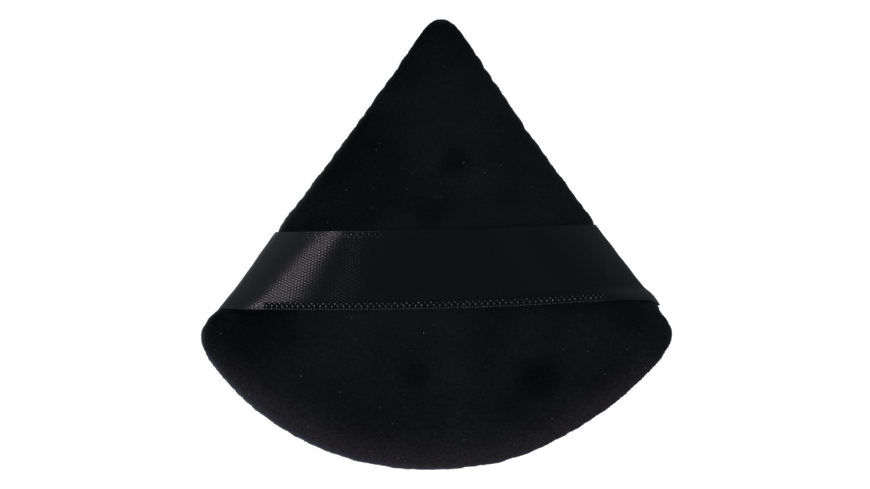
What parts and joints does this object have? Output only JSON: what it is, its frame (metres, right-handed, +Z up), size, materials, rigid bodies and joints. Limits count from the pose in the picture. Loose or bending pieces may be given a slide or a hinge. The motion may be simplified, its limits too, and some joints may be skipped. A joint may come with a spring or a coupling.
{
  "type": "powder puff",
  "caption": "Fan-shaped crowned velour powder puff with a sponge core, a sewn edge and a bowed satin ribbon finger loop across its back.",
  "frame": {"origin": "under the middle of the puff's box, on the surface that the powder face rests on", "axes": "+Z up through the ribbon, +Y from the round edge to the apex, +X to the right with the apex away from the viewer"},
  "size_m": [0.08, 0.0766, 0.0198],
  "materials": {
    "velour": "short cut pile, matt with a soft rim sheen",
    "satin": "woven satin, glossy along the bend",
    "sponge": "open-cell foam",
    "thread": "spun polyester sewing thread"
  },
  "bodies": {
    "pad": {"back_panel": "velour", "face_panel": "velour", "sponge_core": "sponge", "seam_needle_thread": "thread", "seam_bobbin_thread": "thread", "closing_thread": "thread", "left_ribbon_tack": "thread", "right_ribbon_tack": "thread"},
    "ribbon": {"satin_ribbon": "satin"}
  },
  "joints": [
    {"name": "ribbon_lift", "type": "slide", "parent": "pad", "child": "ribbon", "axis": [0, 0, 1], "range_m": [-0.005, 0.005], "stiffness_N_per_m": 5, "deforming": ["satin_ribbon"]}
  ]
}
